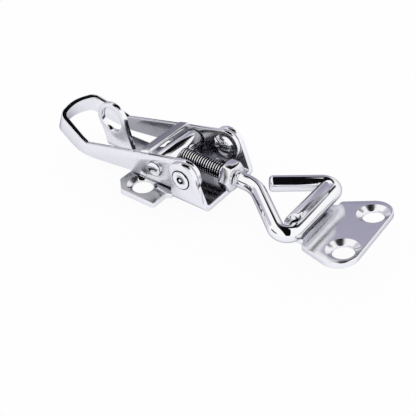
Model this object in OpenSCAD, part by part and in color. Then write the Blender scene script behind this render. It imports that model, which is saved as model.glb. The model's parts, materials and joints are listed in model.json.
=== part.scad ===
// Over centre toggle latch: folded base with a padlock lug, stirrup lever,
// adjustable hook rod and a strike plate with a curled lip, shown closed.
// Millimetres. X runs towards the strike, Y across, Z up from the mounting plane.
// The modules are drawn with the front edge of the base at x = 0 and the mounting plane
// at z = 0. Each node is then moved so that the middle of the base screws is the origin.

/* [Base] */
// thickness of the base sheet
base_t = 1.5; // [1:0.1:2.5]
// length of the base from its front edge to the back of the lug
base_length = 42; // [38:1:60]
// width over the two ears
ear_width = 21.2; // [16:0.2:32]
// radius of the rounded ear top about the pivot
ear_r = 4.4; // [3.6:0.1:6]
// how far the rear edge of an ear stands behind the pivot
ear_back = 3.4; // [2.6:0.1:4.2]
// outer radius of the folds of the base
base_fold_r = 2; // [1.8:0.1:3]
// width over the wings that carry the screws
wing_width = 32.4; // [28:0.2:44]
// distance from the front edge of the base to the front edge of the wings
wing_front = 11.8; // [11:0.1:14]
// length of the wings
wing_length = 13.5; // [11:0.5:20]
// length of the chamfer on the rear corners of the wings
wing_chamfer = 3.2; // [1:0.1:5]
// distance between the two base screws
base_hole_gap = 22.6; // [19:0.1:34]
// distance from the front edge of the wings to the base screws
base_hole_back = 7.3; // [5:0.1:10]
// diameter of the base screw holes
base_hole_d = 5.4; // [3:0.1:6]
// diameter of the countersink of the base screw holes
base_sink_d = 8; // [6:0.1:9]

/* [Padlock lug] */
// width of the tongue behind the wings
tongue_width = 6.4; // [5:0.1:9]
// offset of the face of the lug from the middle plane
lug_offset = 2; // [1:0.1:3]
// length of the lug at its hole
lug_length = 9.6; // [9:0.1:14]
// height of the centre of the padlock hole
lug_hole_z = 9.3; // [8:0.1:14]
// diameter of the padlock hole
lug_hole_d = 6.9; // [4:0.1:8]
// wall left around the padlock hole
lug_wall = 1.3; // [1:0.1:3]

/* [Lever] */
// thickness of the lever sheet
lever_t = 1.3; // [1:0.1:2]
// side gap between the lever and an ear
lever_gap = 0.2; // [0.1:0.05:0.5]
// radius of the rounded front ends of the arms
arm_r = 4.35; // [3.4:0.05:4.6]
// slope of the top edge of the arms in degrees
arm_slope = 12.4; // [10:0.1:14]
// distance from the pivot back to the kink where the finger loop starts
kink_back = 33.1; // [30:0.1:44]
// angle of the finger loop to the base in degrees
loop_rise = 22; // [10:1:30]
// height of the band of the finger loop
loop_h = 5; // [4:0.1:6.5]
// length of the finger loop along its slope
loop_length = 13.5; // [12:0.1:18]
// width over the end of the finger loop
loop_end_width = 14.2; // [12:0.1:16]
// thickness of the web that joins the arms
web_t = 1.2; // [0.8:0.1:1.6]
// length of the web along the arms
web_length = 2.6; // [2:0.1:2.8]
// gap between the barrel and the underside of the web
web_gap = 0.4; // [0.35:0.05:0.8]
// distance from the barrel axis back to the front edge of the web
web_back = 1.4; // [1.2:0.1:3]

/* [Pivot] */
// distance from the front edge of the base back to the pivot
pivot_back = 7.4; // [6.6:0.1:9]
// height of the pivot above the mounting plane
pivot_z = 7.1; // [6.6:0.1:9]
// diameter of the pivot rivets
rivet_d = 4; // [2.5:0.1:4.4]
// diameter of the flush outer heads of the rivets
rivet_flush_d = 5; // [4.6:0.1:6]
// diameter of the domed inner heads of the rivets
rivet_dome_d = 6.4; // [5:0.1:7]
// height of the domed inner heads of the rivets
rivet_dome_h = 1.1; // [0.6:0.1:1.6]
// running clearance between a pin and its hole
fit = 0.05; // [0.02:0.01:0.1]

/* [Hook rod] */
// distance from the pivot back to the barrel axis
barrel_back = 9.4; // [8.6:0.1:12]
// drop from the pivot to the barrel axis
barrel_drop = 1.3; // [0.8:0.1:2.4]
// diameter of the barrel between the arms
barrel_d = 6; // [5.6:0.1:7]
// diameter of the barrel pins in the arms
barrel_pin_d = 4; // [3:0.1:4.4]
// diameter of the hook rod
rod_d = 4; // [3:0.1:4.4]
// distance from the front edge of the base to the hook bar
bar_reach = 23.4; // [20:0.1:40]
// height of the hook bar above the mounting plane
bar_z = 4.7; // [4.3:0.1:5.2]
// distance from the front edge of the base to the first bend of the rod
bend_reach = 7.4; // [6:0.1:12]
// angle at which the rod spreads towards the bar in degrees
spread = 41; // [30:1:50]
// angle of the leg that comes back from the bar in degrees
return_angle = 38; // [30:1:50]
// radius of the first bend along the middle of the rod
bend_r = 8; // [4:0.5:9]
// radius of the two corners of the hook along the middle of the rod
corner_r = 2.5; // [2.2:0.1:3]
// distance from the middle plane to the cut end of the rod
tail_gap = 2.9; // [2.6:0.1:6]
// width of the lock nut across its flats
nut_width = 7; // [6:0.1:8]
// thickness of the lock nut
nut_t = 3.2; // [2:0.1:4]
// distance from the front edge of the base to the front face of the nut
nut_reach = 1.7; // [0.5:0.1:3]

/* [Strike] */
// thickness of the strike sheet
strike_t = 1.5; // [1:0.1:2]
// distance from the hook bar to the end of the strike
strike_reach = 15.1; // [14:0.1:24]
// width over the strike
strike_width = 26; // [22:0.5:34]
// width of the strike over its shoulders
neck_width = 19.4; // [17:0.2:20]
// width of the curled lip of the strike
lip_width = 15.6; // [10:0.2:15.6]
// inner radius of the curled lip
lip_r = 2.5; // [2.3:0.1:3.4]
// angle at which the lip ends, measured from the plane of the strike in degrees
lip_end = 76; // [70:1:110]
// play between the lip and the pulling side of the hook bar
lip_play = 0.07; // [0.03:0.01:0.4]
// angle by which the loose strike is lifted in the position shown in degrees
strike_tilt = 12; // [0:1:20]
// distance from the hook bar to the shoulders of the strike
strike_neck = 1.6; // [1.4:0.1:4]
// radius of the corners at the end of the strike
strike_corner_r = 4.6; // [3:0.1:6]
// distance between the two strike screws
strike_hole_gap = 15; // [11:0.1:19]
// distance from the end of the strike to its screws
strike_hole_edge = 4.1; // [3.8:0.1:8]
// diameter of the strike screw holes
strike_hole_d = 5; // [3:0.1:5.4]
// diameter of the countersink of the strike screw holes
strike_sink_d = 7.8; // [6:0.1:8]

/* [Hidden] */
$fn = 64;

past = 1;
home = [wing_front + base_hole_back, 0, 0];
pivot_x = -pivot_back;
ear_out = ear_width / 2;
ear_in = ear_out - base_t;
lever_out = ear_in - lever_gap;
lever_in = lever_out - lever_t;
wing_x = -wing_front;
wing_end = wing_x - wing_length;
fold_in_r = 0.5;
barrel_x = pivot_x - barrel_back;
barrel_z = pivot_z - barrel_drop;
rod_slope = atan2(barrel_z - bar_z, bar_reach - barrel_x);
rod_run = norm([bar_reach - barrel_x, barrel_z - bar_z]);
steel = [0.8, 0.8, 0.84];

// plan helpers: an outline is a list of [x, y, radius] read anticlockwise

function flat(p) = [p[0], p[1]];
function unit(v) = v / norm(v);
function pick(pts, i) = pts[(i + len(pts)) % len(pts)];
function to_last(pts, i) = unit(flat(pick(pts, i - 1)) - flat(pick(pts, i)));
function to_next(pts, i) = unit(flat(pick(pts, i + 1)) - flat(pick(pts, i)));
function half_turn(pts, i) = acos(to_last(pts, i) * to_next(pts, i)) / 2;
function cut_back(pts, i) = pts[i][2] / tan(half_turn(pts, i));
function arc_start(pts, i) = flat(pts[i]) + to_last(pts, i) * cut_back(pts, i);
function arc_stop(pts, i) = flat(pts[i]) + to_next(pts, i) * cut_back(pts, i);
function arc_middle(pts, i) = flat(pts[i])
    + unit(to_last(pts, i) + to_next(pts, i)) * pts[i][2] / sin(half_turn(pts, i));
function bulges(pts, i) = cross(to_next(pts, i), to_last(pts, i)) > 0;

// the round slice between a corner's arc and the line that joins its tangent points
module corner_arc(pts, i) {
    lap = 0.1;
    half_way = (arc_start(pts, i) + arc_stop(pts, i)) / 2;
    inner = half_way + lap * unit(arc_middle(pts, i) - half_way);
    intersection() {
        translate(arc_middle(pts, i)) circle(r = pts[i][2]);
        polygon([arc_start(pts, i), flat(pts[i]), arc_stop(pts, i), inner]);
    }
}

// an outline with a true arc at every corner that has a radius
module outline(pts) {
    ends = [0:len(pts) - 1];
    difference() {
        union() {
            polygon([for (i = ends) each pts[i][2] > 0
                     ? [arc_start(pts, i), arc_stop(pts, i)] : [flat(pts[i])]]);
            for (i = ends) {
                if (pts[i][2] > 0 && bulges(pts, i)) corner_arc(pts, i);
            }
        }
        for (i = ends) {
            if (pts[i][2] > 0 && !bulges(pts, i)) corner_arc(pts, i);
        }
    }
}

// stands a side outline, drawn as x and z, between y = from and y = to
module upright(from, to) {
    translate([0, to, 0]) rotate([90, 0, 0]) linear_extrude(to - from) children();
}

// lays a cross-section, drawn as y and z, between x = from and x = to
module along_x(from, to) {
    translate([from, 0, 0]) rotate([90, 0, 90]) linear_extrude(to - from) children();
}

// a countersunk through hole from the mounting plane to the top of a sheet
module sunk_hole(x, y, t, hole_d, sink_d) {
    straight = max(t - (sink_d - hole_d) / 2, 0.4 * t);
    translate([x, y, -past]) cylinder(d = hole_d, h = t + 2 * past);
    translate([x, y, straight])
        cylinder(d1 = hole_d, d2 = sink_d + 2 * past * (sink_d - hole_d) / (2 * (t - straight)),
                 h = t - straight + past);
}

// base plate

module ear_side() {
    foot = 0.8;
    away = [0 - pivot_x, foot - pivot_z];
    lean = atan2(away[1], away[0]) + acos(ear_r / norm(away));
    touch = [pivot_x + ear_r * cos(lean), pivot_z + ear_r * sin(lean)];
    rear = pivot_x - ear_back;
    intersection() {
        union() {
            translate([pivot_x, pivot_z]) circle(r = ear_r);
            polygon([[rear, 0], [0, 0], [0, foot], touch, [pivot_x, pivot_z], [rear, pivot_z]]);
        }
        outline([[rear + 0.4, -past, 0], [past, -past, 0], [past, pivot_z + ear_r + past, 0],
                 [rear - 0.5, pivot_z + ear_r + past, 0], [rear - 0.15, pivot_z + 2.6, 0]]);
    }
}

module ear_section() {
    top = pivot_z + ear_r + past;
    difference() {
        outline([[-ear_out, 0, base_fold_r], [ear_out, 0, base_fold_r],
                 [ear_out, top, 0], [-ear_out, top, 0]]);
        outline([[-ear_in, base_t, fold_in_r], [ear_in, base_t, fold_in_r],
                 [ear_in, top + past, 0], [-ear_in, top + past, 0]]);
    }
}

module ears() {
    intersection() {
        upright(-ear_out - past, ear_out + past) ear_side();
        along_x(pivot_x - ear_r - past, past) ear_section();
    }
}

module wings() {
    half = wing_width / 2;
    join = ear_out + 0.3;
    neck = wing_x + 1.2;
    linear_extrude(base_t)
        outline([[wing_end, -half + wing_chamfer, 0.8], [wing_end + wing_chamfer, -half, 0.8],
                 [wing_x, -half, 0.6], [wing_x, -join, 0.8], [neck, -join + 0.6, 0],
                 [neck, join - 0.6, 0], [wing_x, join, 0.8], [wing_x, half, 0.6],
                 [wing_end + wing_chamfer, half, 0.8], [wing_end, half - wing_chamfer, 0.8]]);
}

module floor_joint() {
    reach = ear_out - base_fold_r;
    translate([wing_x - past, -reach, 0]) cube([wing_front + past - base_t, 2 * reach, base_t]);
}

lug_front = -base_length + lug_length;
lug_top_r = lug_hole_d / 2 + lug_wall;
lug_x = -base_length + lug_length / 2;
tongue_far = tongue_width - lug_offset;

module lug_side() {
    shoulder = lug_hole_z;
    difference() {
        union() {
            translate([lug_x, lug_hole_z]) circle(r = lug_top_r);
            outline([[-base_length + 2.2, 0, 0], [lug_front + 2.1, 0, 0],
                     [lug_front + 1.9, base_t + 0.4, 0],
                     [lug_x + lug_top_r, shoulder, 0], [lug_x - lug_top_r, shoulder, 0],
                     [-base_length + 2.2, base_t + 1.5, 3]]);
        }
        translate([lug_x, lug_hole_z]) circle(d = lug_hole_d);
    }
}

module lug_section() {
    top = lug_hole_z + lug_top_r + past;
    difference() {
        outline([[-lug_offset, 0, base_fold_r], [tongue_far, 0, 0],
                 [tongue_far, top, 0], [-lug_offset, top, 0]]);
        outline([[base_t - lug_offset, base_t, fold_in_r], [tongue_far + past, base_t, 0],
                 [tongue_far + past, top + past, 0], [base_t - lug_offset, top + past, 0]]);
    }
}

module lug() {
    intersection() {
        upright(-lug_offset - past, tongue_far + past) lug_side();
        along_x(-base_length - past, lug_front + 3) lug_section();
    }
}

module tongue() {
    near = base_fold_r - lug_offset;
    linear_extrude(base_t)
        outline([[wing_end + past, near - 1, 0], [wing_end + past, tongue_far + 1, 0],
                 [wing_end, tongue_far + 1, 0], [wing_end - 1, tongue_far, 1],
                 [-base_length + 2.2, tongue_far, 1.2], [-base_length + 2.2, near, 0],
                 [wing_end - 1, near, 1], [wing_end, near - 1, 0]]);
}

module base_plate() {
    color(steel) translate(home)
    difference() {
        union() {
            ears();
            wings();
            floor_joint();
            tongue();
            lug();
        }
        for (side = [-1, 1]) {
            sunk_hole(wing_x - base_hole_back, side * base_hole_gap / 2, base_t, base_hole_d, base_sink_d);
        }
        translate([pivot_x, 0, pivot_z]) rotate([90, 0, 0])
            cylinder(d = rivet_d, h = ear_width + 2 * past, center = true);
        for (side = [-1, 1]) rivet_seat(side);
    }
}

// the countersink in an ear for the flush head of a rivet
module rivet_seat(side) {
    translate([pivot_x, side * ear_out, pivot_z]) rotate([side * 90, 0, 0])
        translate([0, 0, -past]) rivet_flush(past);
}

module rivet_flush(extra) {
    depth = (rivet_flush_d - rivet_d) / 2;
    cylinder(d = rivet_flush_d, h = extra);
    translate([0, 0, extra]) cylinder(d1 = rivet_flush_d, d2 = rivet_d, h = depth);
}

// pivot rivets

module rivet(side) {
    tip = lever_in - 0.1;
    ball_r = (rivet_dome_h ^ 2 + (rivet_dome_d / 2) ^ 2) / (2 * rivet_dome_h);
    color(steel) translate(home)
    translate([pivot_x, 0, pivot_z]) rotate([side * 90, 0, 0]) {
        difference() {
            union() {
                translate([0, 0, -ear_out]) rivet_flush(0.001);
                translate([0, 0, -ear_out + 0.4]) cylinder(d = rivet_d, h = ear_out - tip);
                intersection() {
                    translate([0, 0, rivet_dome_h - ball_r - tip]) sphere(r = ball_r);
                    translate([0, 0, -tip]) cylinder(d = rivet_dome_d + past, h = rivet_dome_h + past);
                }
            }
            translate([0, 0, -ear_out - past]) cylinder(d = 1.1, h = past + 0.4);
        }
    }
}

module pivot_rivet_near() {
    rivet(-1);
}

module pivot_rivet_far() {
    rivet(1);
}

// lever

kink_x = pivot_x - kink_back;
arm_reach = kink_back + 2 * arm_r;
kink_z = pivot_z + (arm_r - kink_back * sin(arm_slope)) / cos(arm_slope);

// from the loop's own length and height to the side view
function loop_point(s, n) = [kink_x - s * cos(loop_rise) + n * sin(loop_rise),
                             kink_z + s * sin(loop_rise) + n * cos(loop_rise)];
function with_r(p, r) = [p[0], p[1], r];

module lever_side() {
    top = [pivot_x - arm_r * sin(arm_slope), pivot_z + arm_r * cos(arm_slope)];
    clear_z = base_t + 0.3;
    low = [kink_x - 2.2, -0.1];
    union() {
        translate([pivot_x, pivot_z]) circle(r = arm_r);
        outline([with_r([pivot_x, pivot_z], 0), with_r(top, 0), [kink_x, kink_z, 0],
                 with_r(loop_point(loop_length + past, 0), 0),
                 with_r(loop_point(loop_length + past, -loop_h), 0),
                 with_r(low, 20), [wing_end - 0.5, clear_z, 4],
                 [pivot_x - 5.6, clear_z + 0.1, 3], [pivot_x, pivot_z - arm_r, 0]]);
    }
}

// the plan of the lever, from the pivot to the end of the loop, square to the loop
module walls_plan(inset) {
    half = lever_out - inset;
    end_half = loop_end_width / 2 - inset;
    tip = loop_length - inset;
    outline([[-arm_reach - inset, -half, 0], [1.5, -half, 14], [tip - 1.5, -end_half, 3.6 - inset],
             [tip + 0.25, 0, 13 - inset], [tip - 1.5, end_half, 3.6 - inset],
             [1.5, half, 14], [-arm_reach - inset, half, 0]]);
}

module walls() {
    below = loop_h + 4;
    translate([kink_x, 0, kink_z]) rotate([0, loop_rise, 0]) rotate(180)
        translate([0, 0, -below]) linear_extrude(arm_reach + below)
            difference() {
                walls_plan(0);
                walls_plan(lever_t);
            }
}

barrel_along = barrel_back * cos(arm_slope) + barrel_drop * sin(arm_slope);
barrel_up = barrel_back * sin(arm_slope) - barrel_drop * cos(arm_slope);
web_top = barrel_up + barrel_d / 2 + web_gap + web_t;
web_front = barrel_along + web_back;

module web_section() {
    foot = web_top - web_t - 0.7;
    difference() {
        outline([[-lever_out, foot, 0], [lever_out, foot, 0],
                 [lever_out, web_top, 1.8], [-lever_out, web_top, 1.8]]);
        outline([[-lever_in, foot - past, 0], [lever_in, foot - past, 0],
                 [lever_in, web_top - web_t, 0.6], [-lever_in, web_top - web_t, 0.6]]);
    }
}

module web() {
    translate([pivot_x, 0, pivot_z]) rotate([0, -arm_slope, 0])
        along_x(-web_front - web_length, -web_front) web_section();
}

module lever() {
    color(steel) translate(home)
    difference() {
        union() {
            intersection() {
                walls();
                upright(-lever_out - past, lever_out + past) lever_side();
            }
            web();
        }
        translate([pivot_x, 0, pivot_z]) rotate([90, 0, 0])
            cylinder(d = rivet_d + 2 * fit, h = ear_width, center = true);
        translate([barrel_x, 0, barrel_z]) rotate([90, 0, 0])
            cylinder(d = barrel_pin_d + 2 * fit, h = ear_width, center = true);
    }
}

// barrel

module barrel() {
    color(steel) translate(home)
    translate([barrel_x, 0, barrel_z])
        difference() {
            rotate([90, 0, 0]) union() {
                cylinder(d = barrel_d, h = 2 * (lever_in - lever_gap), center = true);
                cylinder(d = barrel_pin_d, h = 2 * lever_out, center = true);
            }
            rotate([0, 90 + rod_slope, 0])
                cylinder(d = rod_d + 2 * fit, h = barrel_d + 2 * past, center = true);
        }
}

// hook rod: its path lies in the plane of the rod, with x measured from the barrel axis

bend_s = bend_reach - barrel_x;
corner_y = (rod_run - bend_s) * tan(spread);
tail_s = rod_run - (corner_y - tail_gap) / tan(return_angle);
hair = 0.02;
rod_path = [[-barrel_d / 2, 0, 0], [bend_s, 0, bend_r], [rod_run, -corner_y, corner_r],
            [rod_run, corner_y, corner_r], [tail_s, tail_gap, 0]];

module rod_bend(pts, i) {
    mid = arc_middle(pts, i);
    first = arc_start(pts, i) - mid;
    last = arc_stop(pts, i) - mid;
    turn = 180 - 2 * half_turn(pts, i);
    from = bulges(pts, i) ? first : last;
    translate(mid) rotate(atan2(from[1], from[0]))
        rotate_extrude(angle = turn) translate([pts[i][2], 0]) circle(d = rod_d);
}

// a straight leg, a hair thinner than the bends so that its ends lie inside them
module rod_leg(a, b, lap_a, lap_b) {
    v = b - a;
    translate(a - lap_a * unit(v)) rotate([0, 90, atan2(v[1], v[0])])
        cylinder(d = rod_d - hair, h = norm(v) + lap_a + lap_b);
}

module on_rod() {
    translate([barrel_x, 0, barrel_z]) rotate([0, rod_slope, 0]) children();
}

module hook_rod() {
    last = len(rod_path) - 1;
    color(steel) translate(home)
    on_rod()
        union() {
            for (i = [1:last]) {
                a = i == 1 ? flat(rod_path[0]) : arc_stop(rod_path, i - 1);
                b = i == last ? flat(rod_path[last]) : arc_start(rod_path, i);
                rod_leg(a, b, i == 1 ? 0 : 0.05, i == last ? 0 : 0.05);
            }
            for (i = [1:last - 1]) rod_bend(rod_path, i);
        }
}

// lock nut

module lock_nut() {
    corner = nut_width / 2 / cos(30);
    cut = 0.45;
    color(steel) translate(home)
    on_rod()
        translate([nut_reach - nut_t - barrel_x, 0, 0]) rotate([0, 90, 0]) rotate(30)
            difference() {
                intersection() {
                    cylinder(r = corner, h = nut_t, $fn = 6);
                    union() {
                        cylinder(r1 = corner - 1.7 * cut, r2 = corner, h = cut);
                        translate([0, 0, cut]) cylinder(r = corner, h = nut_t - 2 * cut);
                        translate([0, 0, nut_t - cut])
                            cylinder(r1 = corner, r2 = corner - 1.7 * cut, h = cut);
                    }
                }
                translate([0, 0, -past]) cylinder(d = rod_d, h = nut_t + 2 * past);
            }
}

// strike plate: drawn about the middle of the hook bar, then lifted by its tilt

strike_z = -strike_t - lip_r;
lip_x = lip_r - rod_d / 2 - lip_play;

module strike_plan() {
    neck = neck_width / 2;
    lip = lip_width / 2;
    step = neck - lip;
    to_round = [strike_reach - strike_neck - strike_corner_r,
                strike_width / 2 - neck - strike_corner_r];
    taper = atan2(to_round[1], to_round[0]) + asin(strike_corner_r / norm(to_round));
    corner = neck + (strike_reach - strike_neck) * tan(taper);
    outline([[lip_x, -lip, 0], [strike_neck, -lip, 0.35 * step], [strike_neck, -neck, 0.6 * step],
             [strike_reach, -corner, strike_corner_r], [strike_reach, corner, strike_corner_r],
             [strike_neck, neck, 0.6 * step], [strike_neck, lip, 0.35 * step], [lip_x, lip, 0]]);
}

module lip_side() {
    out = lip_r + strike_t;
    wide = 2 * out;
    translate([lip_x, 0])
        difference() {
            circle(r = out);
            circle(r = lip_r);
            polygon([[0, 0], [0, -wide], [wide, -wide], [wide, wide],
                     [wide * cos(lip_end), wide * sin(lip_end)]]);
        }
}

module lip_corner(side) {
    r = 3.2;
    tip = lip_x + (lip_r + strike_t) * cos(lip_end);
    h = lip_r + 2 * strike_t;
    translate([tip - r, side * (lip_width / 2 - r), 0])
        difference() {
            translate([0, side > 0 ? 0 : -r - past, 0]) cube([r + past, r + past, h]);
            translate([0, 0, -past]) cylinder(r = r, h = h + 2 * past);
        }
}

module strike_plate() {
    color(steel) translate(home)
    translate([bar_reach, 0, bar_z]) rotate([0, -strike_tilt, 0])
        difference() {
            union() {
                translate([0, 0, strike_z]) linear_extrude(strike_t) strike_plan();
                upright(-lip_width / 2, lip_width / 2) lip_side();
            }
            for (side = [-1, 1]) {
                translate([0, 0, strike_z])
                    sunk_hole(strike_reach - strike_hole_edge, side * strike_hole_gap / 2, strike_t,
                              strike_hole_d, strike_sink_d);
                lip_corner(side);
            }
        }
}

base_plate();
lever();
barrel();
pivot_rivet_near();
pivot_rivet_far();
hook_rod();
lock_nut();
strike_plate();
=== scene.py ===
"""Over centre toggle latch in bright plated steel: rounded stampings, rolled thread and studio light."""

import json
import logging
import math
from collections.abc import Iterator
from contextlib import contextmanager
from dataclasses import dataclass, field
from enum import Enum

import bmesh
import bpy
from mathutils import Matrix, Vector, geometry
from mathutils.bvhtree import BVHTree


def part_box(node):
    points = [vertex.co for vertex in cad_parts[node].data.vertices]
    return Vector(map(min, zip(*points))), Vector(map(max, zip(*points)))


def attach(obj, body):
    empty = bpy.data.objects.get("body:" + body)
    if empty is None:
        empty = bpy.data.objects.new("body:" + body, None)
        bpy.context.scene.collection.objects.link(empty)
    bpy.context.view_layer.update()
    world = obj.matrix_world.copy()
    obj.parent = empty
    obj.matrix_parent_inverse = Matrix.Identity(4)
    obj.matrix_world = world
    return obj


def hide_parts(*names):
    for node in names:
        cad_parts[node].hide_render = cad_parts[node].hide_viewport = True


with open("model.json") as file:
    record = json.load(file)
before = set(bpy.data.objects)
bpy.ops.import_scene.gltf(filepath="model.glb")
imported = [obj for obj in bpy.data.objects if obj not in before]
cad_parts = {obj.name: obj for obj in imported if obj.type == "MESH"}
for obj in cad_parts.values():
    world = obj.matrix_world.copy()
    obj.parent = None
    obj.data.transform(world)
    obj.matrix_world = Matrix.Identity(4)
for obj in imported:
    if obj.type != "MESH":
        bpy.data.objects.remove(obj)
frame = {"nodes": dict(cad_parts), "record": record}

MM = 0.001
LOG = logging.getLogger("latch")

# Points within WELD_MM are one point. What is smaller than SLIVER_MM is left over from a rounding.
WELD_MM = 0.0001
SLIVER_MM = 0.001

# Faces that turn by less than FLAT_DEG are one face, and edges over SHARP_DEG are rounded.
FLAT_DEG = 0.4
SHARP_DEG = 35.0
SMOOTH_DEG = 32.0
TURNED_SMOOTH_DEG = 40.0

# A true rounding lies within TRUE_DEPTH of its own width from the plain form, and turns by less
# than FOLD_DEG from face to face. Where it doesn't, the short edges within reach stay sharp.
ROUNDING_STEPS = 3
ROUNDING_TRIES = 2
TRUE_DEPTH = 0.55
FOLD_DEG = 100.0
FOLD_REACH_MM = 0.3
SHORT_EDGE_MM = 1.5

# A face looks along an axis if its normal has more than FACING on it. A rim never looks sideways,
# so it has less than RIM_SIDEWAYS across the latch.
FACING = 0.8
RIM_SIDEWAYS = 0.5

# The duller patches of the plating come up between these two values of their noise.
PATCH_NOISE = (0.35, 0.75)
PATCH_DETAIL = 3.0
WAVE_DETAIL = 1.0


class RimWay(Enum):
    """The axis along which the blanked rim of a folded stamping looks."""

    ALONG = 0
    UP = 2


class Side(Enum):
    """The side of the latch that a rivet is on, with the way to it along Y."""

    NEAR = -1
    FAR = 1


def set_inputs(node: bpy.types.Node, **values: object) -> None:
    """Sets the inputs of a node.

    Args:
        node: the shader node.
        values: value of each input, by its name with an underscore for each space.
    """
    for name, value in values.items():
        node.inputs[name.replace("_", " ")].default_value = value


def add_node(tree: bpy.types.NodeTree, kind: str, **values: object) -> bpy.types.Node:
    """Adds a shader node.

    Args:
        tree: node tree of the material or the world.
        kind: type of the node, without its ShaderNode.
        values: value of each input, by its name with an underscore for each space.

    Returns:
        The new node.
    """
    node = tree.nodes.new(f"ShaderNode{kind}")
    set_inputs(node, **values)
    return node


def combine(
    tree: bpy.types.NodeTree, operation: str, first: bpy.types.NodeSocket, second: bpy.types.NodeSocket
) -> bpy.types.NodeSocket:
    """Adds a Math node over two values.

    Args:
        tree: node tree of the material or the world.
        operation: what the node does with them.
        first: the first value.
        second: the second value.

    Returns:
        The socket with the result.
    """
    node = add_node(tree, "Math")
    node.operation = operation
    tree.links.new(first, node.inputs[0])
    tree.links.new(second, node.inputs[1])
    return node.outputs[0]


def mix_shaders(
    tree: bpy.types.NodeTree,
    part: bpy.types.NodeSocket,
    none: bpy.types.NodeSocket,
    full: bpy.types.NodeSocket,
) -> bpy.types.NodeSocket:
    """Adds a Mix Shader node.

    Args:
        tree: node tree of the material or the world.
        part: how much of the second shader there is.
        none: the shader where that is 0.
        full: the shader where that is 1.

    Returns:
        The socket with the mixed shader.
    """
    node = add_node(tree, "MixShader")
    tree.links.new(part, node.inputs["Fac"])
    tree.links.new(none, node.inputs[1])
    tree.links.new(full, node.inputs[2])
    return node.outputs["Shader"]


def seen_by_eye(tree: bpy.types.NodeTree) -> bpy.types.NodeSocket:
    """Adds the light path test for rays that the eye sees, straight or in metal or glass.

    Args:
        tree: node tree of the floor or the world.

    Returns:
        A socket that is 1 for those rays and 0 for light on the floor.
    """
    path = add_node(tree, "LightPath").outputs
    straight_or_metal = combine(tree, "MAXIMUM", path["Is Camera Ray"], path["Is Glossy Ray"])
    return combine(tree, "MAXIMUM", straight_or_metal, path["Is Transmission Ray"])


@dataclass(frozen=True)
class Plating:
    """A bright plated finish over stamped, drawn or turned steel.

    Args:
        name: name of the material.
        tint: colour of the reflections.
        edge_tint: colour of the reflections at a grazing angle, where the plating darkens.
        roughness: lowest roughness of the surface.
        haze: how much roughness the duller patches add.
        patch_mm: size of those patches.
        wave_mm: size of the soft waves that the press, the bender or the lathe leaves.
        wave_depth_mm: depth of those waves.
    """

    name: str
    tint: tuple[float, float, float] = (0.93, 0.93, 0.955)
    edge_tint: tuple[float, float, float] = (0.35, 0.35, 0.4)
    roughness: float = 0.05
    haze: float = 0.05
    patch_mm: float = 2.2
    wave_mm: float = 5.0
    wave_depth_mm: float = 0.01

    def material(self) -> bpy.types.Material:
        """Builds the node material once.

        Returns:
            The material, from an earlier call where there was one.
        """
        made = bpy.data.materials.get(self.name)
        if made:
            return made
        made = bpy.data.materials.new(self.name)
        made.use_nodes = True
        tree = made.node_tree
        shader = tree.nodes["Principled BSDF"]
        set_inputs(
            shader, Metallic=1.0, Base_Color=(*self.tint, 1.0), Specular_Tint=(*self.edge_tint, 1.0)
        )
        place = add_node(tree, "TexCoord").outputs["Object"]
        spread = add_node(
            tree, "MapRange", From_Min=PATCH_NOISE[0], From_Max=PATCH_NOISE[1],
            To_Min=self.roughness, To_Max=self.roughness + self.haze,
        )
        tree.links.new(self._noise(tree, place, self.patch_mm, PATCH_DETAIL), spread.inputs["Value"])
        tree.links.new(spread.outputs["Result"], shader.inputs["Roughness"])
        bump = add_node(tree, "Bump", Strength=1.0, Distance=self.wave_depth_mm * MM)
        tree.links.new(self._noise(tree, place, self.wave_mm, WAVE_DETAIL), bump.inputs["Height"])
        tree.links.new(bump.outputs["Normal"], shader.inputs["Normal"])
        return made

    @staticmethod
    def _noise(
        tree: bpy.types.NodeTree, place: bpy.types.NodeSocket, size_mm: float, detail: float
    ) -> bpy.types.NodeSocket:
        """Adds a noise texture.

        Args:
            tree: node tree of the material.
            place: its object coordinates.
            size_mm: size of one cell of the noise.
            detail: how many finer layers it has.

        Returns:
            The socket with the noise.
        """
        noise = add_node(tree, "TexNoise", Scale=1.0 / (size_mm * MM), Detail=detail)
        tree.links.new(place, noise.inputs["Vector"])
        return noise.outputs["Fac"]


SHEET = Plating("plated_sheet", roughness=0.17, haze=0.06, wave_depth_mm=0.006)
FACE = Plating("plated_satin_face", roughness=0.26, haze=0.04, wave_depth_mm=0.004)
# Darker tint: painted shade on the channel floor and the inner sides of the base and the lever, where
# little light reaches.
PAINTED_SHADE_INSIDE = Plating("plated_painted_shade_inside", tint=(0.42, 0.42, 0.45), roughness=0.15, haze=0.05)
RIM = Plating("plated_rim", roughness=0.06, haze=0.03)
ROUND = Plating("plated_round", roughness=0.04, haze=0.03, wave_mm=7.0, wave_depth_mm=0.004)
TURNED = Plating("plated_turned", roughness=0.07, haze=0.05, wave_mm=3.0, wave_depth_mm=0.003)
# Near black: dirt and painted shade in the thread roots, and painted shade in the rivets' ring marks and
# feet and round the barrel's pin ends.
DIRT_AND_SHADE = Plating("thread_dirt_and_painted_shade", tint=(0.02, 0.02, 0.022), roughness=0.35, haze=0.1, wave_mm=3.0)


def nothing_selected() -> None:
    """Leaves edit mode if needed and clears the selection."""
    if bpy.context.object and bpy.context.object.mode != "OBJECT":
        bpy.ops.object.mode_set(mode="OBJECT")
    bpy.ops.object.select_all(action="DESELECT")


def take(piece: bpy.types.Object) -> None:
    """Makes one object the only selected and the active one.

    Args:
        piece: the object.
    """
    nothing_selected()
    piece.select_set(True)
    bpy.context.view_layer.objects.active = piece


@contextmanager
def edit_mode(piece: bpy.types.Object) -> Iterator[None]:
    """Opens a piece in edit mode, selected all over, for the lines under it.

    Args:
        piece: the mesh object.

    Yields:
        Nothing, while the piece is open.
    """
    take(piece)
    bpy.ops.object.mode_set(mode="EDIT")
    bpy.ops.mesh.select_all(action="SELECT")
    yield
    bpy.ops.object.mode_set(mode="OBJECT")


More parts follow.
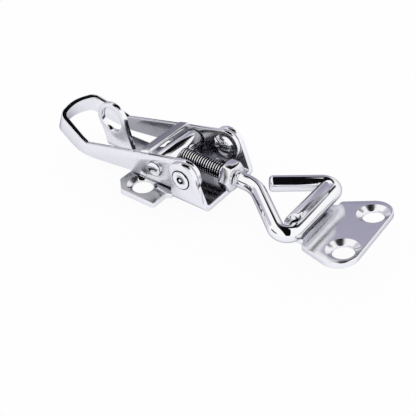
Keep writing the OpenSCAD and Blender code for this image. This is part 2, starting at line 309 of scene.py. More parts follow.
def new_object(name: str, data: bpy.types.ID) -> bpy.types.Object:
    """Puts a mesh or a curve into the scene as the only selected object.

    Args:
        name: name of the object.
        data: its mesh or curve.

    Returns:
        The new object.
    """
    made = bpy.data.objects.new(name, data)
    bpy.context.scene.collection.objects.link(made)
    take(made)
    return made


def open_line(name: str, points: list[tuple[float, float, float]]) -> bpy.types.Object:
    """Makes a mesh of one open line, to be spun or screwed into a turned piece.

    Args:
        name: name of the object.
        points: the points of the line.

    Returns:
        The new object.
    """
    mesh = bpy.data.meshes.new(name)
    mesh.from_pydata(points, [(k, k + 1) for k in range(len(points) - 1)], [])
    return new_object(name, mesh)


def apply_modifiers(piece: bpy.types.Object) -> None:
    """Applies every modifier of a piece in order.

    Args:
        piece: the mesh object.
    """
    take(piece)
    for name in [modifier.name for modifier in piece.modifiers]:
        bpy.ops.object.modifier_apply(modifier=name)


def dress(piece: bpy.types.Object, finish: Plating, smooth_deg: float = SMOOTH_DEG) -> None:
    """Gives a piece its material and smooth shading.

    Args:
        piece: the mesh object.
        finish: its finish.
        smooth_deg: edges sharper than this stay sharp.
    """
    take(piece)
    piece.data.materials.clear()
    piece.data.materials.append(finish.material())
    bpy.ops.object.shade_smooth_by_angle(angle=math.radians(smooth_deg))


def add_finish(piece: bpy.types.Object, finish: Plating) -> int:
    """Gives a piece one more material.

    Args:
        piece: the mesh object.
        finish: its further finish.

    Returns:
        The index that a face of that finish takes.
    """
    piece.data.materials.append(finish.material())
    return len(piece.data.materials) - 1


def dress_folded(piece: bpy.types.Object, rim_way: RimWay, rim_least: float) -> None:
    """Gives the blanked rim of a folded stamping a brighter finish and its upright walls a softer one.

    Args:
        piece: the stamping.
        rim_way: the axis along which its rim looks.
        rim_least: least part of a rim face's normal on that axis.
    """
    rim = add_finish(piece, RIM)
    wall = add_finish(piece, FACE)
    for face in piece.data.polygons:
        if abs(face.normal.y) < RIM_SIDEWAYS and abs(face.normal[rim_way.value]) > rim_least:
            face.material_index = rim
        elif abs(face.normal.y) > FACING:
            face.material_index = wall


def paint_inside_shade(piece: bpy.types.Object, half_width_mm: float, start_mm: float) -> None:
    """Paints shade on the floor and the inner sides of a folded stamping, as a darker tint.

    Args:
        piece: the stamping.
        half_width_mm: how far across the latch the painted shade reaches, its walls' inner faces
            included.
        start_mm: from where along X it reaches, by the middle of each face.
    """
    # Painted shade: the faces inside that look up or inward get the darker tint.
    inside = add_finish(piece, PAINTED_SHADE_INSIDE)
    for face in piece.data.polygons:
        between = abs(face.center.y) < half_width_mm * MM and face.center.x > start_mm * MM
        inward = -face.normal.y * math.copysign(1.0, face.center.y)
        if between and (face.normal.z > FACING or inward > FACING):
            face.material_index = inside


def whole_copy(node: str, name: str) -> bpy.types.Object:
    """Copies a CAD node, joins its loose triangles into whole faces and stands in for it.

    Args:
        node: the CAD node.
        name: name of the new piece.

    Returns:
        The new piece, at the node's place.
    """
    piece = new_object(name, frame["nodes"][node].data.copy())
    with edit_mode(piece):
        bpy.ops.mesh.remove_doubles(threshold=WELD_MM * MM)
        bpy.ops.mesh.customdata_custom_splitnormals_clear()
        bpy.ops.mesh.dissolve_limited(angle_limit=math.radians(FLAT_DEG))
    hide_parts(node)
    return piece


def surface_of(mesh: bpy.types.Mesh) -> BVHTree:
    """Keeps the surface of a mesh, to measure from.

    Args:
        mesh: the mesh.

    Returns:
        The search tree of its faces.
    """
    shape = bmesh.new()
    shape.from_mesh(mesh)
    surface = BVHTree.FromBMesh(shape)
    shape.free()
    return surface


def fold_spots(mesh: bpy.types.Mesh, plain_form: BVHTree, depth: float) -> list[Vector]:
    """Finds where a rounding folds over itself or stands off the plain form.

    Args:
        mesh: the rounded mesh.
        plain_form: the surface before the rounding.
        depth: how far from that surface a true rounding may lie.

    Returns:
        The places of the folds, and of all points on and round a spike.
    """
    spots = []
    shape = bmesh.new()
    shape.from_mesh(mesh)
    for vert in shape.verts:
        if plain_form.find_nearest(vert.co)[3] > depth:
            spots.append(vert.co.copy())
            spots += [edge.other_vert(vert).co.copy() for edge in vert.link_edges]
    for edge in shape.edges:
        if edge.calc_face_angle(math.pi) > math.radians(FOLD_DEG):
            spots.append((edge.verts[0].co + edge.verts[1].co) / 2)
    shape.free()
    return spots


def passes_a_fold(edge: bmesh.types.BMEdge, spots: list[Vector]) -> bool:
    """Tells whether a short edge passes one of the spots.

    Args:
        edge: the edge.
        spots: places where a rounding folds.

    Returns:
        True for a short edge within reach of a spot.
    """
    if edge.calc_length() > SHORT_EDGE_MM * MM:
        return False
    start, end = (vert.co for vert in edge.verts)
    for spot in spots:
        part = geometry.intersect_point_line(spot, start, end)[1]
        if (start.lerp(end, min(max(part, 0.0), 1.0)) - spot).length < FOLD_REACH_MM * MM:
            return True
    return False


def weigh_edges(mesh: bpy.types.Mesh, spots: list[Vector]) -> None:
    """Gives every edge that is to be rounded its bevel weight.

    Args:
        mesh: the plain mesh.
        spots: places where a rounding would fold, so that short edges stay sharp there.
    """
    shape = bmesh.new()
    shape.from_mesh(mesh)
    weight = shape.edges.layers.float.new("bevel_weight_edge")
    for edge in shape.edges:
        if edge.calc_face_angle(0.0) > math.radians(SHARP_DEG) and not passes_a_fold(edge, spots):
            edge[weight] = 1.0
    shape.to_mesh(mesh)
    shape.free()


def round_edges(piece: bpy.types.Object, edge_mm: float) -> None:
    """Rounds the sharp edges of a piece, and once more without those at which the rounding folds.

    Args:
        piece: the mesh object.
        edge_mm: width of the rounding.
    """
    plain = piece.data.copy()
    plain_form = surface_of(plain)
    spots = []
    for _ in range(ROUNDING_TRIES):
        piece.data = plain.copy()
        weigh_edges(piece.data, spots)
        bevel = piece.modifiers.new("rounding", "BEVEL")
        bevel.width = edge_mm * MM
        bevel.segments = ROUNDING_STEPS
        bevel.limit_method = "WEIGHT"
        bevel.use_clamp_overlap = False
        bevel.miter_outer = "MITER_ARC"
        apply_modifiers(piece)
        with edit_mode(piece):
            bpy.ops.mesh.remove_doubles(threshold=SLIVER_MM * MM)
            bpy.ops.mesh.dissolve_degenerate(threshold=SLIVER_MM * MM)
        spots = fold_spots(piece.data, plain_form, TRUE_DEPTH * edge_mm * MM)
        if not spots:
            break


def rounded_copy(node: str, name: str, edge_mm: float) -> bpy.types.Object:
    """Copies a CAD node and rounds its sharp edges.

    Args:
        node: the CAD node.
        name: name of the new piece.
        edge_mm: width of the rounding.

    Returns:
        The new piece, at the node's place.
    """
    piece = whole_copy(node, name)
    round_edges(piece, edge_mm)
    return piece


def joint_place(joint: str) -> tuple[float, float]:
    """Looks up the axis of a joint.

    Args:
        joint: name of the joint.

    Returns:
        Its x and z in millimetres.
    """
    for entry in frame["record"]["behaviour"]["joints"]:
        if entry["name"] == joint:
            return entry["pos_m"][0] / MM, entry["pos_m"][2] / MM
    raise KeyError(joint)


@dataclass
class Rivet:
    """A pivot rivet: a dome inside the lever and a low button, set with a ring punch, on the ear.

    Lengths are in millimetres. Each line of the turned profile gives points of radius and height.

    Args:
        side: the side of the latch that it is on.
        punch_line: the ring punch's mark in the button, as radius and depth under its face.
        button_r: radius of the button.
        button_h: height of the button over the ear.
        shoulder: width of its rounded shoulder.
        shoulder_deg: how far the shoulder turns.
        shoulder_steps: in how many steps it does so.
        seat_line: the button's foot and the shank under it, over the ear's face.
        foot_line: the shank's end and the rim of the dome, over the dome's foot.
        dome_h: height of the dome.
        dome_r: radius of the dome's foot.
        dome_steps: in how many steps it closes.
        turned_steps: how many faces go round the rivet.
        groove_r: radii between which the ring mark is painted near black as shade.
        groove_depth: depth under the button's face from which it is.
        foot_r: radius outside which the button's foot is painted near black as shade.
        foot_depth: depth from which it is.
        shade_depth: depth under the ear's face that no painted shade passes.
    """

    side: Side
    punch_line: tuple[tuple[float, float], ...] = (
        (0.0, 0.08), (0.35, 0.1), (0.45, 0.2), (0.51, 0.45), (0.86, 0.45), (0.96, 0.08), (1.06, 0.0)
    )
    button_r: float = 2.45
    button_h: float = 0.4
    shoulder: float = 0.5
    shoulder_deg: float = 85.0
    shoulder_steps: int = 7
    seat_line: tuple[tuple[float, float], ...] = ((2.45, 0.02), (2.65, 0.015), (2.6, -0.05), (2.0, -0.5))
    foot_line: tuple[tuple[float, float], ...] = ((2.0, 0.02), (3.12, 0.0), (3.2, -0.05))
    dome_h: float = 1.1
    dome_r: float = 3.2
    dome_steps: int = 12
    turned_steps: int = 56
    groove_r: tuple[float, float] = (0.45, 1.0)
    groove_depth: float = 0.14
    foot_r: float = 2.33
    foot_depth: float = 0.2
    shade_depth: float = 0.5

    def build(self) -> bpy.types.Object:
        """Spins the profile about the pivot and dresses it.

        Returns:
            The rivet, in the place of its CAD node.
        """
        side = self.side.name.lower()
        node = f"pivot_rivet_{side}"
        ends = [abs(corner[1]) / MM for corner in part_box(node)]
        ear, tip = max(ends), min(ends)
        pivot_x, pivot_z = joint_place("lever_hinge")
        line = [
            (pivot_x * MM, self.side.value * (ear + height) * MM, (pivot_z + radius) * MM)
            for radius, height in self._profile(ear - tip - self.dome_h)
        ]
        rivet = open_line(f"turned_rivet_{side}", line)
        with edit_mode(rivet):
            bpy.ops.mesh.spin(
                steps=self.turned_steps, angle=math.tau,
                center=(pivot_x * MM, 0.0, pivot_z * MM), axis=(0.0, 1.0, 0.0),
            )
            bpy.ops.mesh.select_all(action="SELECT")
            bpy.ops.mesh.remove_doubles(threshold=SLIVER_MM * MM)
            bpy.ops.mesh.normals_make_consistent(inside=False)
        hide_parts(node)
        dress(rivet, TURNED, TURNED_SMOOTH_DEG)
        # Painted shade: near black in the ring mark and round the button's foot.
        dirt_and_shade = add_finish(rivet, DIRT_AND_SHADE)
        for face in rivet.data.polygons:
            x, y, z = face.center / MM
            if self._is_painted_shade(math.hypot(x - pivot_x, z - pivot_z), abs(y) - ear):
                face.material_index = dirt_and_shade
        return rivet

    def _profile(self, length: float) -> list[tuple[float, float]]:
        """Draws the half section from the middle of the button to the middle of the dome.

        Args:
            length: from the ear's face to the foot of the dome.

        Returns:
            Points of radius and height over the ear's face.
        """
        line = [(radius, self.button_h - depth) for radius, depth in self.punch_line]
        for k in range(self.shoulder_steps + 1):
            turn = math.radians(self.shoulder_deg * k / self.shoulder_steps)
            radius = self.button_r - self.shoulder * (1 - math.sin(turn))
            line.append((radius, self.button_h * math.cos(turn)))
        line += self.seat_line
        line += [(radius, height - length) for radius, height in self.foot_line]
        ball_r = (self.dome_h ** 2 + self.dome_r ** 2) / (2 * self.dome_h)
        reach = math.asin(self.dome_r / ball_r)
        top = -length - self.dome_h
        for k in range(1, self.dome_steps):
            turn = reach * (1 - k / self.dome_steps)
            line.append((ball_r * math.sin(turn), top + ball_r * (1 - math.cos(turn))))
        line.append((0.0, top))
        return line

    def _is_painted_shade(self, radius: float, height: float) -> bool:
        """Tells whether a place is painted near black as shade, as in the ring mark and at the button's
        foot.

        Args:
            radius: how far the place is from the axis.
            height: how far it is over the ear's face.

        Returns:
            True for a dull place.
        """
        depth = self.button_h - height
        in_groove = self.groove_r[0] < radius < self.groove_r[1] and depth > self.groove_depth
        at_foot = radius > self.foot_r and depth > self.foot_depth
        return (in_groove or at_foot) and height > -self.shade_depth


@dataclass
class BasePlate:
    """The folded base with its ears, wings, tongue and padlock lug, and the two pivot rivets.

    Args:
        edge_mm: width of the roundings.
        rim_least: least part of a rim face's normal along the latch.
        channel_mm: how far across the latch the painted shade inside the channel reaches.
        channel_start_mm: from where along X it reaches.
    """

    edge_mm: float = 0.18
    rim_least: float = 0.25
    channel_mm: float = 8.5
    channel_start_mm: float = -6.0

    def build(self) -> list[bpy.types.Object]:
        """Builds and dresses the base and its rivets.

        Returns:
            The pieces, each riding on the base.
        """
        plate = rounded_copy("base_plate", "rounded_base_plate", self.edge_mm)
        dress(plate, SHEET)
        dress_folded(plate, RimWay.ALONG, self.rim_least)
        # Painted shade inside the channel, as a darker tint.
        paint_inside_shade(plate, self.channel_mm, self.channel_start_mm)
        pieces = [plate, Rivet(Side.NEAR).build(), Rivet(Side.FAR).build()]
        for piece in pieces:
            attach(piece, "base")
        return pieces


@dataclass
class Lever:
    """The stirrup lever, one stamping that ends in the finger loop.

    Args:
        edge_mm: width of the roundings.
        rim_least: least upright part of a rim face's normal.
        web_mm: how far across the latch the painted shade on the web and the inner faces of the arms
            reaches.
        web_start_mm: from where along X it reaches.
    """

    edge_mm: float = 0.2
    rim_least: float = 0.6
    web_mm: float = 8.0
    web_start_mm: float = -12.0

    def build(self) -> list[bpy.types.Object]:
        """Builds and dresses the lever.

        Returns:
            The lever, riding on its own body.
        """
        lever = rounded_copy("lever", "rounded_lever", self.edge_mm)
        dress(lever, SHEET)
        dress_folded(lever, RimWay.UP, self.rim_least)
        # Painted shade on the web and the inner faces of the arms, as a darker tint.
        paint_inside_shade(lever, self.web_mm, self.web_start_mm)
        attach(lever, "lever")
        return [lever]


@dataclass
class Barrel:
    """The barrel that the rod is screwed through.

    Args:
        edge_mm: width of the roundings.
        proud_mm: how far its pin ends stand proud of the arms.
        end_play_mm: how close to the end of its solid a point is part of the end face.
        ring_most: most part of a normal along the pin in the ring of painted shade round its end.
    """

    edge_mm: float = 0.2
    proud_mm: float = 0.5
    end_play_mm: float = 0.01
    ring_most: float = 0.75

    def build(self) -> list[bpy.types.Object]:
        """Builds and dresses the barrel.

        Returns:
            The barrel, riding on its own body.
        """
        barrel = whole_copy("barrel", "rounded_barrel")
        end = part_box("barrel")[1][1]
        for vertex in barrel.data.vertices:
            if abs(vertex.co.y) > end - self.end_play_mm * MM:
                vertex.co.y += math.copysign(self.proud_mm * MM, vertex.co.y)
        round_edges(barrel, self.edge_mm)
        dress(barrel, TURNED)
        # Painted shade: near black on the side of each proud pin end, round where it leaves the arm.
        dirt_and_shade = add_finish(barrel, DIRT_AND_SHADE)
        for face in barrel.data.polygons:
            if abs(face.center.y) > end and abs(face.normal.y) < self.ring_most:
                face.material_index = dirt_and_shade
        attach(barrel, "barrel")
        return [barrel]


@dataclass(frozen=True)
class Corner:
    """A corner of the rod's path.

    Args:
        along: its place along the rod, from the barrel's axis.
        across: its place across the rod.
        radius: radius of the bend, or 0 at an end of the path.
    """

    along: float
    across: float
    radius: float = 0.0

    @property
    def spot(self) -> Vector:
        """Gives the place of the corner as a vector."""
        return Vector((self.along, self.across))


@dataclass
class HookRod:
    """The threaded rod, bent into a hook, with its lock nut.

    Lengths are in millimetres. The rod is made in a plane of its own, where X runs along it from the
    barrel's axis and Y across it, and is then put in its place.

    Args:
        barrel: x and z of the barrel's axis.
        bar: x and z of the middle of the hook bar.
        rod_d: diameter of the rod.
        start: where the thread starts, behind the barrel.
        bend: where the first leg of the hook begins.
        bend_r: radius of that bend.
        spread_deg: angle between the rod and the first leg.
        return_deg: angle between the rod and the leg that returns.
        corner_r: radius of the bends at the ends of the bar.
        tail_gap: how far from the middle the returning leg ends.
        overlap: how far the shank reaches into the thread.
        bend_step_deg: how far each step of a bend turns at the most.
        bend_steps: how many steps a bend has at the least.
        ring_detail: how finely the shank's round section is divided.
        cut_mm: width of the rounding at the cut end.
        cut_steps: in how many steps it is rounded.
        cut_deg: only edges sharper than this belong to the cut end.
        thread_end: where the thread ends.
        pitch: pitch of the thread.
        minor_d: diameter of its root.
        thread_form: one turn of it, as parts of the pitch and of the height over the root.
        thread_steps: how many steps one turn has.
        spare_turns: turns that are screwed too many and then cut off.
        end_step: how far the free end lies under the root.
        runout_turns: over how many turns the thread runs out.
        root_part: part of its height that stays dull.
        nut_edge_mm: width of the nut's roundings.
    """

    barrel: tuple[float, float] = field(default_factory=lambda: joint_place("barrel_turn"))
    bar: tuple[float, float] = field(default_factory=lambda: joint_place("strike_swing"))
    rod_d: float = 4.0
    start: float = -3.0
    bend: float = 24.2
    bend_r: float = 8.0
    spread_deg: float = 41.0
    return_deg: float = 38.0
    corner_r: float = 2.5
    tail_gap: float = 2.9
    overlap: float = 0.5
    bend_step_deg: float = 4.0
    bend_steps: int = 6
    ring_detail: int = 14
    cut_mm: float = 0.8
    cut_steps: int = 5
    cut_deg: float = 60.0
    thread_end: float = 19.6
    pitch: float = 0.7
    minor_d: float = 3.25
    thread_form: tuple[tuple[float, float], ...] = (
        (0.0, 0.0), (0.34, 0.0), (0.52, 1.0), (0.82, 1.0), (1.0, 0.0)
    )
    thread_steps: int = 40
    spare_turns: int = 2
    end_step: float = 0.1
    runout_turns: int = 2
    # root_part: part of its height that is painted near black, as dirt and painted shade in the roots.
    root_part: float = 0.55
    nut_edge_mm: float = 0.1

    def build(self) -> list[bpy.types.Object]:
        """Builds and dresses the rod and its nut.

        Returns:
            The pieces, each riding on the hook.
        """
        rod = self._join([self._shank(), self._thread()], "threaded_hook_rod")
        dress(rod, ROUND, TURNED_SMOOTH_DEG)
        self._paint_root_dirt_and_shade(rod)
        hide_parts("hook_rod")
        nut = rounded_copy("lock_nut", "rounded_lock_nut", self.nut_edge_mm)
        dress(nut, TURNED)
        for piece in (rod, nut):
            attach(piece, "hook")
        return [rod, nut]

    def _place(self) -> Matrix:
        """Gives the matrix from the rod's own plane to the frame.

        Returns:
            The matrix, which also turns millimetres into metres.
        """
        slope = math.atan2(self.barrel[1] - self.bar[1], self.bar[0] - self.barrel[0])
        shift = Matrix.Translation((self.barrel[0] * MM, 0.0, self.barrel[1] * MM))
        return shift @ Matrix.Rotation(slope, 4, "Y") @ Matrix.Scale(MM, 4)

    def _corners(self) -> list[Corner]:
        """Works out the corners of the path from the sizes.

        Returns:
            The corners, from the thread to the tail.
        """
        run = math.hypot(self.bar[0] - self.barrel[0], self.barrel[1] - self.bar[1])
        reach = (run - self.bend) * math.tan(math.radians(self.spread_deg))
        tail = run - (reach - self.tail_gap) / math.tan(math.radians(self.return_deg))
        return [
            Corner(self.thread_end - self.overlap, 0.0),
            Corner(self.bend, 0.0, self.bend_r),
            Corner(run, -reach, self.corner_r),
            Corner(run, reach, self.corner_r),
            Corner(tail, self.tail_gap),
        ]

    def _path(self) -> list[Vector]:
        """Runs along the corners with a true arc at each.

        Returns:
            The points of the middle of the rod.
        """
        stops = self._corners()
        points = [stops[0].spot]
        for before, here, after in zip(stops, stops[1:], stops[2:]):
            back = (before.spot - here.spot).normalized()
            onward = (after.spot - here.spot).normalized()
            half = back.angle(onward) / 2
            centre = here.spot + (back + onward).normalized() * here.radius / math.sin(half)
            first = here.spot + back * here.radius / math.tan(half) - centre
            last = here.spot + onward * here.radius / math.tan(half) - centre
            turn = first.angle_signed(last)
            steps = max(int(abs(turn) / math.radians(self.bend_step_deg)), self.bend_steps)
            for k in range(steps + 1):
                points.append(centre + Matrix.Rotation(-turn * k / steps, 2) @ first)
        points.append(stops[-1].spot)
        return points

    def _shank(self) -> bpy.types.Object:
        """Sweeps the plain part of the rod along its path.

        Returns:
            The swept mesh, its tail end cut square and rounded.
        """
        curve = bpy.data.curves.new("shank", "CURVE")
        curve.dimensions = "3D"
        curve.bevel_depth = self.rod_d / 2
        curve.bevel_resolution = self.ring_detail
        curve.use_fill_caps = True
        points = self._path()
        spline = curve.splines.new("POLY")
        spline.points.add(len(points) - 1)
        for point, spot in zip(spline.points, points):
            point.co = (spot.x, spot.y, 0.0, 1.0)
        new_object("shank", curve)
        bpy.ops.object.convert(target="MESH")
        shank = bpy.context.object
        with edit_mode(shank):
            bpy.ops.mesh.remove_doubles(threshold=WELD_MM)
            bpy.ops.mesh.dissolve_limited(angle_limit=math.radians(FLAT_DEG))
        bevel = shank.modifiers.new("cut_end", "BEVEL")
        bevel.width = self.cut_mm
        bevel.segments = self.cut_steps
        bevel.limit_method = "ANGLE"
        bevel.angle_limit = math.radians(self.cut_deg)
        apply_modifiers(shank)
        return shank

    def _thread(self) -> bpy.types.Object:
        """Turns the rolled thread as one screw surface and closes its ends.

        Returns:
            The threaded length of the rod.
        """
        major, minor = self.rod_d / 2, self.minor_d / 2
        thread = open_line("thread", [
            (self.pitch * part, minor + rise * (major - minor), 0.0) for part, rise in self.thread_form
        ])
        screw = thread.modifiers.new("turns", "SCREW")
        screw.axis = "X"
        screw.angle = math.tau
        screw.screw_offset = self.pitch
        screw.iterations = math.ceil((self.thread_end - self.start) / self.pitch) + self.spare_turns
        screw.steps = self.thread_steps
        screw.render_steps = self.thread_steps
        screw.use_merge_vertices = True
        screw.merge_threshold = WELD_MM
        apply_modifiers(thread)
        with edit_mode(thread):
            bpy.ops.transform.translate(value=(self.start - self.pitch, 0.0, 0.0))
            bpy.ops.mesh.remove_doubles(threshold=WELD_MM)
            for place, clears_before in ((self.start, True), (self.thread_end, False)):
                bpy.ops.mesh.select_all(action="SELECT")
                bpy.ops.mesh.bisect(
                    plane_co=(place, 0.0, 0.0), plane_no=(1.0, 0.0, 0.0), use_fill=True,
                    clear_inner=clears_before, clear_outer=not clears_before,
                )
            bpy.ops.mesh.select_all(action="SELECT")
            bpy.ops.mesh.normals_make_consistent(inside=False)
        for vertex in thread.data.vertices:
            self._shape_ends(vertex.co)
        return thread

    def _shape_ends(self, co: Vector) -> None:
        """Chamfers the thread's free end and lets it run out towards the shank.

        Args:
            co: place of one vertex of the thread, changed in place.
        """
        major, minor = self.rod_d / 2, self.minor_d / 2
        radius = math.hypot(co.y, co.z)
        if radius < WELD_MM:
            return
        wanted = min(radius, minor - self.end_step + max(co.x - self.start, 0.0))
        fade = 1.0 - (self.thread_end - co.x) / (self.runout_turns * self.pitch)
        if fade > 0:
            wanted = max(wanted, minor + (major - minor) * min(fade, 1.0))
        co.y *= wanted / radius
        co.z *= wanted / radius

    def _paint_root_dirt_and_shade(self, rod: bpy.types.Object) -> None:
        """Paints the roots of the thread near black, as dirt and as painted shade in the recess.

        Args:
            rod: the joined rod, in its place.
        """
        # Dirt and painted shade: near black in the thread roots.
        dirt_and_shade = add_finish(rod, DIRT_AND_SHADE)
        back = self._place().inverted()
        limit = (self.minor_d + self.root_part * (self.rod_d - self.minor_d)) / 2
        for face in rod.data.polygons:
            middle = back @ face.center
            if middle.x < self.thread_end - self.pitch and math.hypot(middle.y, middle.z) < limit:
                face.material_index = dirt_and_shade

    def _join(self, parts: list[bpy.types.Object], name: str) -> bpy.types.Object:
        """Joins the parts of the rod and puts them in their place.

        Args:
            parts: mesh objects in the rod's own plane.
            name: name of the joined piece.

        Returns:
            One piece in the frame.
        """
        nothing_selected()
        for part in parts:
            part.select_set(True)
        bpy.context.view_layer.objects.active = parts[0]
        bpy.ops.object.join()
        piece = bpy.context.object
        piece.name = name
        piece.data.transform(self._place())
        return piece


@dataclass
class StrikePlate:
    """The strike plate that the hook pulls on.

    Args:
        edge_mm: width of the roundings.
    """

    edge_mm: float = 0.2

    def build(self) -> list[bpy.types.Object]:
        """Builds and dresses the strike plate.

        Returns:
            The plate, riding on its own body.
        """
        plate = rounded_copy("strike_plate", "rounded_strike_plate", self.edge_mm)
        dress(plate, SHEET)
        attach(plate, "strike")
        return [plate]


@dataclass(frozen=True)
class Card:
    """A studio card that only the plating sees. It hangs facing the latch and fades out at its rim.

    Args:
        name: name of the card.
        azimuth_deg: where it hangs, from +X towards +Y.
        elevation_deg: how high it hangs, as an angle over the floor.
        width_deg: how wide it looks from the latch.
        height_deg: how high it looks from the latch.
        colour: what it shows in the plating, black for a flag.
        fade: part of its half width that fades out.
        distance_m: how far it hangs from the latch.
        faced_m: the place along X that it faces, the middle of the latch.
    """

    name: str
    azimuth_deg: float
    elevation_deg: float
    width_deg: float
    height_deg: float
    colour: tuple[float, float, float]
    fade: float = 0.2
    distance_m: float = 0.6
    faced_m: float = 0.02

    def build(self) -> bpy.types.Object:
        """Hangs the card.

        Returns:
            The card, hidden from the camera, from diffuse light, from shadows and from glass.
        """
        azimuth, elevation = math.radians(self.azimuth_deg), math.radians(self.elevation_deg)
        towards = Vector((
            math.cos(azimuth) * math.cos(elevation),
            math.sin(azimuth) * math.cos(elevation),
            math.sin(elevation),
        ))
        nothing_selected()
        bpy.ops.mesh.primitive_plane_add(size=2.0)
        card = bpy.context.object
        card.name = self.name
        half_width = self.distance_m * math.tan(math.radians(self.width_deg / 2))
        half_height = self.distance_m * math.tan(math.radians(self.height_deg / 2))
        card.scale = (half_width, half_height, 1.0)
        card.rotation_euler = towards.to_track_quat("Z", "Y").to_euler()
        card.location = towards * self.distance_m + Vector((self.faced_m, 0.0, 0.0))
        card.data.materials.append(self._paper())
        card.visible_camera = False
        card.visible_diffuse = False
        card.visible_shadow = False
        card.visible_transmission = False
        return card

    def _paper(self) -> bpy.types.Material:
        """Makes the card's paper, which fades out towards the rim.

        Returns:
            The material, on object coordinates that run from -1 to 1 across the card.
        """
        paper = bpy.data.materials.new(self.name)
        paper.use_nodes = True
        tree = paper.node_tree
        tree.nodes.remove(tree.nodes["Principled BSDF"])
        parts = add_node(tree, "SeparateXYZ")
        tree.links.new(add_node(tree, "TexCoord").outputs["Object"], parts.inputs["Vector"])
        covers = []
        for axis in ("X", "Y"):
            size = add_node(tree, "Math")
            size.operation = "ABSOLUTE"
            rim = add_node(tree, "MapRange", From_Min=1.0, From_Max=1.0 - self.fade)
            rim.interpolation_type = "SMOOTHSTEP"
            tree.links.new(parts.outputs[axis], size.inputs[0])
            tree.links.new(size.outputs[0], rim.inputs["Value"])
            covers.append(rim.outputs["Result"])
        cover = combine(tree, "MULTIPLY", *covers)
        clear = add_node(tree, "BsdfTransparent").outputs[0]
        light = add_node(tree, "Emission", Color=(*self.colour, 1.0)).outputs[0]
        shown = mix_shaders(tree, cover, clear, light)
        tree.links.new(shown, tree.nodes["Material Output"].inputs["Surface"])
        return paper


BLACK = (0.004, 0.004, 0.005)
DARK = (0.08, 0.08, 0.09)
GREY = (0.06, 0.06, 0.07)
LAVENDER = (0.38, 0.365, 0.47)
PALE = (0.58, 0.56, 0.65)
WHITE = (1.0, 1.0, 1.0, 1.0)


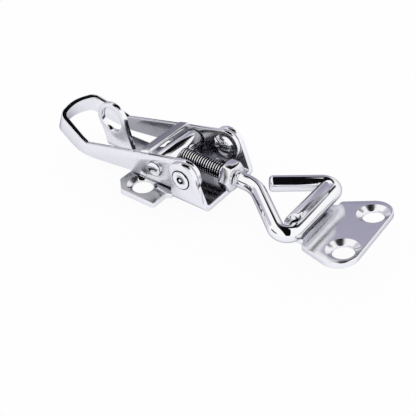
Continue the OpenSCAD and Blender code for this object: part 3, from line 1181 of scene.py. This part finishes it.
@dataclass
class Studio:
    """The camera, the white floor and the soft light and dark cards that the plating reflects.

    Args:
        photo_px: width and height of the photograph.
        focal_px: focal length of its camera in those pixels.
        azimuth_deg: where the camera stands, from -Y towards +X.
        elevation_deg: how high it stands, as an angle over the floor.
        roll_deg: how far it is turned about its view.
        distance_mm: how far it stands from the front edge of the base.
        front_edge_mm: where that edge is along X.
        front_edge_px: where the middle of that edge is in the photograph.
        sensor_mm: width of the camera's sensor.
        clip_m: how close to the camera things are still seen.
        world_tint: colour of the light all round.
        floor_size_m: width of the floor.
        floor_tint: colour of the floor's paper.
        floor_roughness: roughness of that paper.
        floor_white: how much of the floor the camera sees as plain white.
        floor_glow: how much of it the plating and glass see as plain white.
        floor_drop_mm: how far the floor lies under the base, clear of the strike that hangs free.
        cards: the cards.
    """

    photo_px: int = 416
    focal_px: float = 700.0
    azimuth_deg: float = 36.43
    elevation_deg: float = 38.35
    roll_deg: float = -0.75
    distance_mm: float = 175.6
    front_edge_mm: float = 19.1
    front_edge_px: tuple[float, float] = (230.65, 192.82)
    sensor_mm: float = 36.0
    clip_m: float = 0.005
    world_tint: tuple[float, float, float] = (0.92, 0.92, 1.0)
    floor_size_m: float = 4.0
    floor_tint: tuple[float, float, float] = (0.95, 0.945, 0.985)
    floor_roughness: float = 0.9
    floor_white: float = 0.93
    floor_glow: float = 0.55
    floor_drop_mm: float = 3.6
    cards: tuple[Card, ...] = (
        Card("ceiling_flag", -48.0, 67.0, 36.0, 108.0, BLACK, fade=0.12),
        Card("back_flag", 108.0, 51.0, 37.0, 27.0, BLACK, fade=0.15),
        Card("left_flag", -128.0, 13.0, 50.0, 20.0, DARK, fade=0.5),
        Card("side_grey", 80.0, 50.0, 34.0, 22.0, GREY, fade=0.6, distance_m=0.62),
        Card("grey_card", 118.0, 18.0, 26.0, 42.0, LAVENDER, fade=0.3),
        Card("pale_card", 160.0, 20.0, 64.0, 32.0, PALE, fade=0.3, distance_m=0.7),
    )

    def build(self) -> None:
        """Sets the view transform, the camera, the light, the floor and the cards."""
        bpy.context.scene.view_settings.view_transform = "Standard"
        self._camera()
        self._world()
        self._floor()
        for card in self.cards:
            card.build()

    def _camera(self) -> None:
        """Puts the camera where the photograph was taken from."""
        azimuth, elevation = math.radians(self.azimuth_deg), math.radians(self.elevation_deg)
        away = Vector((
            math.sin(azimuth) * math.cos(elevation),
            -math.cos(azimuth) * math.cos(elevation),
            math.sin(elevation),
        ))
        right = Vector((math.cos(azimuth), math.sin(azimuth), 0.0))
        up = away.cross(right)
        roll = math.radians(self.roll_deg)
        turned_right = right * math.cos(roll) + up * math.sin(roll)
        turned_up = up * math.cos(roll) - right * math.sin(roll)
        middle = self.photo_px / 2
        per_px = self.distance_mm / self.focal_px
        across = (self.front_edge_px[0] - middle) * per_px
        above = (middle - self.front_edge_px[1]) * per_px
        place = Vector((self.front_edge_mm, 0.0, 0.0)) + away * self.distance_mm
        place -= turned_right * across + turned_up * above
        data = bpy.data.cameras.new("photo_camera")
        data.sensor_width = self.sensor_mm
        data.lens = self.sensor_mm * self.focal_px / self.photo_px
        data.clip_start = self.clip_m
        camera = bpy.data.objects.new("photo_camera", data)
        bpy.context.scene.collection.objects.link(camera)
        turn = Matrix((turned_right, turned_up, away)).transposed().to_4x4()
        camera.matrix_world = Matrix.Translation(place * MM) @ turn
        bpy.context.scene.camera = camera

    def _world(self) -> None:
        """Makes a world that is white to the camera and in the plating, and soft light on the floor."""
        world = bpy.data.worlds.new("studio")
        bpy.context.scene.world = world
        world.use_nodes = True
        tree = world.node_tree
        light = tree.nodes["Background"]
        set_inputs(light, Color=(*self.world_tint, 1.0), Strength=1.0)
        white = add_node(tree, "Background", Color=WHITE)
        shown = mix_shaders(tree, seen_by_eye(tree), light.outputs[0], white.outputs[0])
        tree.links.new(shown, tree.nodes["World Output"].inputs["Surface"])

    def _floor(self) -> None:
        """Lays the white floor under the latch."""
        nothing_selected()
        bpy.ops.mesh.primitive_plane_add(
            size=self.floor_size_m, location=(0.0, 0.0, -self.floor_drop_mm * MM)
        )
        floor = bpy.context.object
        floor.name = "floor"
        floor.data.materials.append(self._floor_paper())

    def _floor_paper(self) -> bpy.types.Material:
        """Makes the floor's paper, which keeps a soft part of the latch's shadow.

        Returns:
            The material, which is clear from below.
        """
        material = bpy.data.materials.new("floor_paper")
        material.use_nodes = True
        tree = material.node_tree
        paper = tree.nodes["Principled BSDF"]
        set_inputs(paper, Base_Color=(*self.floor_tint, 1.0), Roughness=self.floor_roughness)
        set_inputs(paper, Specular_IOR_Level=0.0)
        white = add_node(tree, "Emission", Color=WHITE).outputs[0]
        glow = add_node(tree, "MapRange", To_Max=self.floor_glow)
        tree.links.new(seen_by_eye(tree), glow.inputs["Value"])
        most = add_node(tree, "MapRange", To_Max=self.floor_white)
        tree.links.new(add_node(tree, "LightPath").outputs["Is Camera Ray"], most.inputs["Value"])
        part = combine(tree, "MAXIMUM", glow.outputs["Result"], most.outputs["Result"])
        above = mix_shaders(tree, part, paper.outputs[0], white)
        clear = add_node(tree, "BsdfTransparent").outputs[0]
        below = add_node(tree, "NewGeometry").outputs["Backfacing"]
        shown = mix_shaders(tree, below, above, clear)
        tree.links.new(shown, tree.nodes["Material Output"].inputs["Surface"])
        return material


def main() -> None:
    """Builds the latch piece by piece, then the studio."""
    logging.basicConfig(level=logging.INFO, format="%(message)s")
    for part in (BasePlate(), Lever(), Barrel(), HookRod(), StrikePlate()):
        for piece in part.build():
            LOG.info("%s: %s, %d faces", type(part).__name__, piece.name, len(piece.data.polygons))
    Studio().build()


if __name__ == "__main__":
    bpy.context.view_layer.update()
    main()
